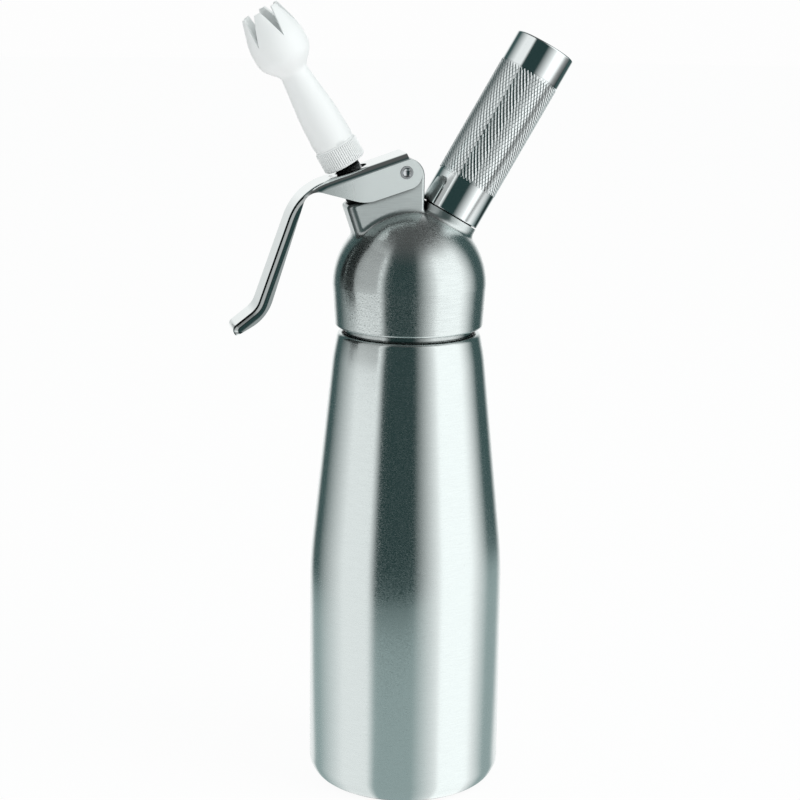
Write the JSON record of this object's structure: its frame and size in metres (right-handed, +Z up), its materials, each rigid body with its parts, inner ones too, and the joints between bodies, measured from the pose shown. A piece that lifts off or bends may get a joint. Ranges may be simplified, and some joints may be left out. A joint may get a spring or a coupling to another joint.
{
  "type": "whipped cream dispenser",
  "caption": "Aluminium cream whipper: tapered bottle, domed screw-on head, squeeze lever and sprung outlet valve with tulip tip, knurled gas charger holder.",
  "frame": {"origin": "centre of the bottle's foot, on the plane it stands on", "axes": "+Z up along the bottle; +X toward the charger holder's lean; -X toward the outlet and the lever's handle"},
  "size_m": [0.1347, 0.078, 0.3153],
  "materials": {
    "bottle_aluminium": "circumferential fine brush, clear anodised",
    "head_aluminium": "brushed casting, soft polish",
    "lever_chrome": "bright chromed pressed steel",
    "pin_steel": "bright steel",
    "valve_steel": "machined stainless steel",
    "nipple_brass": "machined brass",
    "spring_steel": "stainless spring wire",
    "black_plastic": "moulded, satin",
    "white_plastic": "moulded, slightly translucent satin",
    "white_silicone": "food-safe silicone",
    "black_rubber": "nitrile",
    "holder_aluminium": "diamond-knurled, polished ends",
    "charger_steel": "drawn steel, zinc plated"
  },
  "bodies": {
    "bottle": {"bottle_shell": "bottle_aluminium"},
    "gasket": {"head_gasket": "white_silicone"},
    "head": {"head_casting": "head_aluminium", "lever_pin": "pin_steel", "guide_bush": "black_plastic", "stem_o_ring": "black_rubber", "charger_adapter": "nipple_brass", "piercing_pin": "pin_steel", "charger_seal": "black_rubber", "check_valve": "black_rubber", "check_valve_retainer": "nipple_brass", "valve_spring": "spring_steel"},
    "lever": {"lever": "lever_chrome"},
    "valve": {"valve_stem": "valve_steel", "valve_head": "valve_steel", "valve_seal": "black_rubber"},
    "tip_ring": {"tip_seal": "white_silicone"},
    "tip": {"decorating_tip": "white_plastic"},
    "charger": {"charger_cylinder": "charger_steel", "charger_cap": "charger_steel"},
    "holder": {"charger_holder": "holder_aluminium"}
  },
  "joints": [
    {"name": "head_rise", "type": "slide", "parent": "bottle", "child": "gasket", "axis": [0, 0, 1], "range_m": [0, 0.009]},
    {"name": "head_turn", "type": "hinge", "parent": "gasket", "child": "head", "pos_m": [0, 0, 0.201], "axis": [0, 0, 1], "range_deg": [0, 1080]},
    {"name": "lever_squeeze", "type": "hinge", "parent": "head", "child": "lever", "pos_m": [-0.0037, 0, 0.2509], "axis": [0, -1, 0], "range_deg": [0, 11.5], "stiffness_Nm_per_rad": 1.2, "springref_deg": -17.19},
    {"name": "valve_stroke", "type": "slide", "parent": "head", "child": "valve", "axis": [0.5, 0, -0.866], "range_m": [0, 0.0027], "deforming": ["valve_spring"]},
    {"name": "tip_rise", "type": "slide", "parent": "valve", "child": "tip_ring", "axis": [-0.5, 0, 0.866], "range_m": [0, 0.0075]},
    {"name": "tip_turn", "type": "hinge", "parent": "tip_ring", "child": "tip", "pos_m": [-0.03022, 0, 0.26084], "axis": [-0.5, 0, 0.866], "range_deg": [0, 2160]},
    {"name": "charger_rise", "type": "slide", "parent": "head", "child": "charger", "axis": [0.5, 0, 0.866], "range_m": [0, 0.009]},
    {"name": "holder_turn", "type": "hinge", "parent": "charger", "child": "holder", "pos_m": [0.022, 0, 0.2448], "axis": [0.5, 0, 0.866], "range_deg": [0, 2160]}
  ],
  "couplings": [
    {"joint": "head_rise", "follows": "head_turn", "m_per_rad": 0.00047746},
    {"joint": "valve_stroke", "follows": "lever_squeeze", "m_per_rad": 0.012949},
    {"joint": "tip_turn", "follows": "tip_rise", "rad_per_m": 5026.5},
    {"joint": "holder_turn", "follows": "charger_rise", "rad_per_m": 4188.7}
  ]
}
